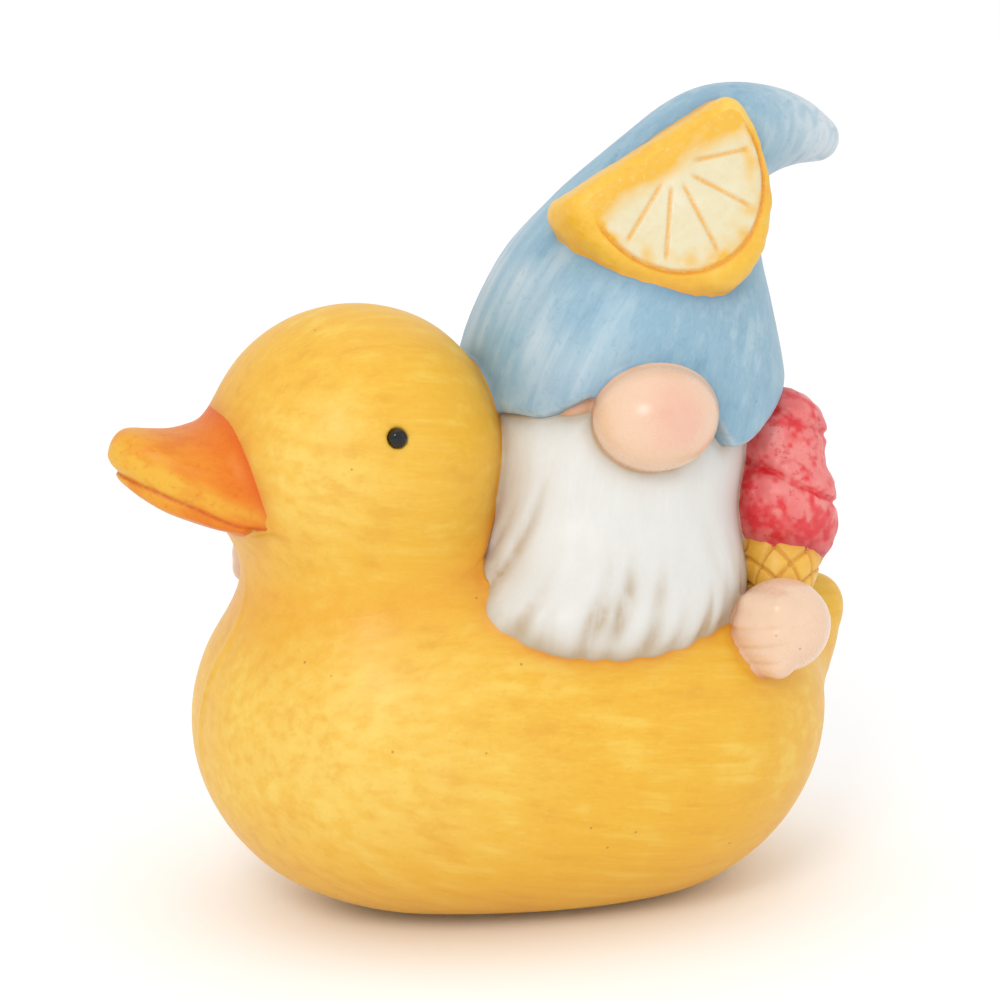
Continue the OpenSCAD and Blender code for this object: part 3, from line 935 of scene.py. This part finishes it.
def painted(name, base, light, dark, seam_wash_and_shade, tone=None, tone_amount=1.0, line=None, bristle=0.5, patches=0.5,
            mottle=0.3, rough=(0.36, 0.56), seam_wash_and_shade_amount=0.8, bump=0.3, coat=0.12, specular=0.5):
    """Satin hand-brushed paint: streaks, patches, tones, lines, mottle, seam wash and tiny pinholes; some
    tones are painted highlights, some lines and the seam wash painted shade.
    """
    paint = Paint(name)
    pit_colour = srgb(*[c * 0.5 for c in dark])
    base, light, dark = srgb(*base), srgb(*light), srgb(*dark)
    colour, fine, broad, patch = brushed(paint, base, light, dark, bristle, patches)
    grain = paint.noise(paint.place, 850.0, 3.0, 0.6)
    # A tone is a second paint colour; on the duck and along the beak's edge it is a painted highlight, and
    # on the beard partly painted shade
    if tone is not None:
        toned = paint.sums("MULTIPLY", paint.layer("tone").outputs["Fac"], tone_amount)
        broken = paint.sums("MULTIPLY", toned, paint.range(broad, 0.3, 0.62, 0.55, 1.1), True)
        colour = paint.mix(broken, colour, srgb(*tone))
    # A line is a drawn line, and on the duck painted shade
    if line is not None:
        worn = paint.range(grain, 0.3, 0.6, 0.5, 1.0)
        lines = paint.sums("MULTIPLY", paint.layer("line").outputs["Fac"], worn)
        colour = paint.mix(lines, colour, srgb(*line))
    colour = paint.mix(paint.sums("MULTIPLY", paint.range(grain, 0.55, 0.75), mottle), colour, light)
    colour = paint.mix(paint.sums("MULTIPLY", paint.range(grain, 0.45, 0.3), mottle), colour, dark)
    # Seam wash: each piece is darkened next to other paints, partly a wash and partly painted shade between
    # the parts
    uneven = paint.range(patch, 0.3, 0.65, 0.35, 1.15)
    wash_and_shade = paint.sums("MULTIPLY", paint.layer("seam_wash_and_shade").outputs["Fac"], uneven)
    colour = paint.mix(paint.sums("MULTIPLY", wash_and_shade, seam_wash_and_shade_amount, True), colour, srgb(*seam_wash_and_shade))
    pit = pinholes(paint)
    colour = paint.mix(paint.sums("MULTIPLY", pit, 0.5), colour, pit_colour)
    paint.link(colour, "Base Color")
    streaks = paint.sums("ADD", fine, paint.sums("MULTIPLY", patch, 0.5))
    paint.link(paint.range(streaks, 0.5, 1.0, *rough), "Roughness")
    height = paint.sums("ADD", paint.sums("MULTIPLY", fine, 0.55), paint.sums("MULTIPLY", grain, 0.35))
    height = paint.sums("SUBTRACT", height, pit)
    bumps = paint.node("ShaderNodeBump", {"Height": height}, {"Strength": bump, "Distance": 0.00025})
    paint.link(bumps.outputs["Normal"], "Normal")
    paint.set("Coat Weight", coat)
    paint.set("Coat Roughness", 0.3)
    paint.set("Specular IOR Level", specular)
    return paint.material


def bead_black():
    paint = Paint("bead_black")
    cloud = paint.noise(paint.place, 900.0, 2.0)
    paint.link(paint.mix(paint.range(cloud, 0.4, 0.7), srgb(9, 9, 10), srgb(20, 18, 18)), "Base Color")
    paint.link(paint.range(cloud, 0.3, 0.7, 0.06, 0.12), "Roughness")
    paint.set("Specular IOR Level", 0.4)
    return paint.material


# Paint colours from 0 to 255, and how strongly each layer shows. The seam colour is a wash that is partly
# painted shade next to other paints.
# In the duck's yellow the line colour is painted shade round the neck and towards the base
# In the duck's yellow the tone colour is a painted highlight on the breast and the side of the head
YELLOW = dict(base=(246, 187, 36), light=(252, 211, 84), dark=(234, 164, 22), seam_wash_and_shade=(222, 132, 10),
              tone=(253, 220, 112), tone_amount=0.6, line=(242, 168, 12),
              bristle=0.3, patches=0.75, mottle=0.2)
# In the beak's orange the tone colour is yellow paint at the tip and a painted highlight over the lip line
ORANGE = dict(base=(238, 126, 6), light=(244, 150, 26), dark=(220, 100, 2), seam_wash_and_shade=(226, 90, 6),
              tone=(244, 184, 58), line=(206, 78, 6),
              bristle=0.3, patches=0.5, mottle=0.28, coat=0.05, specular=0.3)
BLUE = dict(base=(148, 186, 206), light=(180, 207, 220), dark=(116, 160, 188), seam_wash_and_shade=(104, 144, 170),
            tone=(216, 226, 231), tone_amount=0.9, line=(214, 228, 236),
            bristle=0.3, patches=0.8, mottle=0.26)
SUIT = dict(base=(112, 158, 188), light=(150, 187, 208), dark=(84, 132, 168), seam_wash_and_shade=(70, 112, 146),
            bristle=0.5)
SKIN = dict(base=(247, 210, 178), light=(251, 224, 200), dark=(240, 195, 160), seam_wash_and_shade=(222, 158, 116),
            tone=(240, 150, 140), tone_amount=0.5,
            bristle=0.1, patches=0.4, mottle=0.06, bump=0.02, rough=(0.24, 0.34), coat=0.25)
# In the beard's white the tone colour is brown wash in the grooves, and painted shade against the duck and
# by the ice cream
WHITE = dict(base=(236, 236, 231), light=(246, 246, 243), dark=(226, 223, 216), seam_wash_and_shade=(190, 166, 130),
             tone=(192, 168, 134), tone_amount=0.85,
             bristle=0.22, patches=0.3, mottle=0.12, seam_wash_and_shade_amount=1.0, bump=0.2)
RIND = dict(base=(250, 196, 54), light=(254, 216, 102), dark=(240, 168, 34), seam_wash_and_shade=(226, 150, 40),
            line=(238, 148, 14), bristle=0.3, patches=0.8, mottle=0.3)
FLESH = dict(base=(238, 226, 186), light=(248, 241, 214), dark=(230, 208, 152), seam_wash_and_shade=(244, 190, 70),
             tone=(246, 190, 56), tone_amount=1.5, line=(250, 178, 24),
             bristle=0.1, mottle=0.25, bump=0.35)
CORAL = dict(base=(236, 38, 48), light=(246, 100, 100), dark=(206, 20, 34), seam_wash_and_shade=(190, 20, 32),
             tone=(252, 168, 160), tone_amount=0.6,
             bristle=0.12, patches=0.6, mottle=0.6, bump=0.5, coat=0.25)
WAFFLE = dict(base=(252, 198, 70), light=(254, 218, 116), dark=(240, 172, 52), seam_wash_and_shade=(226, 152, 46),
              tone=(222, 148, 42), tone_amount=0.6, bristle=0.25, mottle=0.3)

# Each piece's slot, paint and size of grid cell in millimetres
LOOKS = {
    "duck_body": ("duck_glaze", YELLOW, 0.62),
    "duck_head": ("duck_glaze", YELLOW, 0.5),
    "duck_tail": ("duck_glaze", YELLOW, 0.5),
    "beak_upper": ("beak_glaze", ORANGE, 0.35),
    "beak_lower": ("beak_glaze", ORANGE, 0.35),
    "gnome_body": ("suit_paint", SUIT, 0.55),
    "arm_left": ("suit_paint", SUIT, 0.45),
    "arm_right": ("suit_paint", SUIT, 0.5),
    "face": ("skin_paint", SKIN, 0.4),
    "nose": ("skin_paint", SKIN, 0.35),
    "hand_left": ("skin_paint", SKIN, 0.33),
    "hand_right": ("skin_paint", SKIN, 0.4),
    "beard": ("beard_paint", WHITE, 0.42),
    "hat": ("hat_paint", BLUE, 0.5),
    "lemon_rind": ("rind_paint", RIND, 0.35),
    "lemon_flesh": ("flesh_paint", FLESH, 0.21),
    "ice_cream": ("scoop_paint", CORAL, 0.33),
    "waffle_cone": ("waffle_paint", WAFFLE, 0.3),
}
# How wide the seam wash, partly painted shade, is along a seam, and how far past its CAD node a piece may
# reach
SEAM_WASH_AND_SHADE_WIDTH = 1.4
MARGIN = 3


def paint_for(name, made):
    """The piece's material, shared by pieces of the same slot that do or don't change tone."""
    slot, look, cell = LOOKS[name]
    toned = name in TONES
    if (slot, toned) not in made:
        kept = {k: v for k, v in look.items() if toned or not k.startswith("tone")}
        plain = "tone" in look and not toned
        made[slot, toned] = painted(slot + "_plain" if plain else slot, **kept)
    return made[slot, toned]


def make_castings():
    made = {}
    for name, (slot, look, cell) in LOOKS.items():
        field = share(name)
        points, faces = carve(field, BOX[name].lo - MARGIN, BOX[name].hi + MARGIN, cell)
        gap = field(points)[1]
        # The first value darkens a piece next to other paints: a wash, and painted shade between the parts
        values = {"seam_wash_and_shade": np.exp(-np.maximum(gap, 0) / SEAM_WASH_AND_SHADE_WIDTH),
                  "stroke": STROKES.get(name, lambda p: p * SOFT)(points)}
        if name in TONES:
            values["tone"] = TONES[name](points)
        if name in LINES:
            values["line"] = LINES[name](points)
        piece(name + "_cast", name, points, faces, paint_for(name, made), values)


def make_eyes():
    """Glossy beads, a little flattened where they sit in the head."""
    material = bead_black()
    for name, middle in EYES.items():
        def bead(p, middle=middle):
            outward = np.array([0, np.sign(middle[1]), 0])
            q = p - middle
            ball = np.linalg.norm(q, axis=1) - EYE_R
            shank = segment(p, middle, middle - outward * 4.5, 0.7, 0.7)
            return smin(smax(ball, q @ outward - EYE_R * 0.86, 0.8), shank, 0.5), ball
        points, faces = carve(bead, BOX[name].lo - 0.5, BOX[name].hi + 0.5, 0.12)
        piece(name + "_bead", name, points, faces, material, {})


# ---- Camera, light and floor

# The photograph's angle, and a small step to the left that centres the object as it does
AZIMUTH, ELEVATION = math.radians(-21), math.radians(16)
DISTANCE = 0.85
LENS = 171.4
SENSOR = 36
SIDE_STEP = 0.0018


def make_camera():
    middle = (CAD_BOX[0] + CAD_BOX[1]) / 2
    back = Vector((math.sin(AZIMUTH) * math.cos(ELEVATION), -math.cos(AZIMUTH) * math.cos(ELEVATION),
                   math.sin(ELEVATION)))
    right = Vector((math.cos(AZIMUTH), math.sin(AZIMUTH), 0))
    camera = bpy.data.objects.new("camera", bpy.data.cameras.new("camera"))
    bpy.context.scene.collection.objects.link(camera)
    camera.data.lens = LENS
    camera.data.sensor_width = SENSOR
    camera.location = Vector((0, 0, middle.z)) + back * DISTANCE - right * SIDE_STEP
    camera.rotation_mode = "QUATERNION"
    camera.rotation_quaternion = (-back).to_track_quat("-Z", "Y")
    bpy.context.scene.camera = camera


def area_light(name, place, target, size, power):
    lamp = bpy.data.objects.new(name, bpy.data.lights.new(name, "AREA"))
    bpy.context.scene.collection.objects.link(lamp)
    lamp.data.shape = "SQUARE"
    lamp.data.size = size
    lamp.data.energy = power
    lamp.location = place
    lamp.rotation_mode = "QUATERNION"
    lamp.rotation_quaternion = (Vector(target) - Vector(place)).to_track_quat("-Z", "Y")


def make_light():
    world = bpy.data.worlds.new("world")
    bpy.context.scene.world = world
    world.use_nodes = True
    world.node_tree.nodes["Background"].inputs["Color"].default_value = (1, 1, 1, 1)
    world.node_tree.nodes["Background"].inputs["Strength"].default_value = 1.0
    bpy.context.scene.view_settings.view_transform = "Standard"
    middle = (CAD_BOX[0] + CAD_BOX[1]) / 2
    area_light("key", (-0.55, -0.75, 0.75), middle, size=0.35, power=3.0)
    area_light("fill", (0.6, -0.7, 0.35), middle, size=0.6, power=0.3)
    area_light("top", (0.0, 0.1, 0.9), middle, size=0.6, power=0.5)


def make_floor():
    side = 3.0
    corners = [(-side, -side, 0), (side, -side, 0), (side, side, 0), (-side, side, 0)]
    mesh = bpy.data.meshes.new("floor")
    mesh.from_pydata(corners, [], [(0, 1, 2, 3)])
    paint = Paint("floor")
    cloud = paint.noise(paint.place, 3.0)
    paint.link(paint.mix(cloud, (0.96, 0.96, 0.96, 1), (0.98, 0.98, 0.98, 1)), "Base Color")
    paint.set("Roughness", 0.9)
    mesh.materials.append(paint.material)
    floor = bpy.data.objects.new("floor", mesh)
    floor.location.z = CAD_BOX[0].z
    bpy.context.scene.collection.objects.link(floor)


make_camera()
make_light()
make_floor()
make_castings()
make_eyes()
bpy.context.view_layer.update()
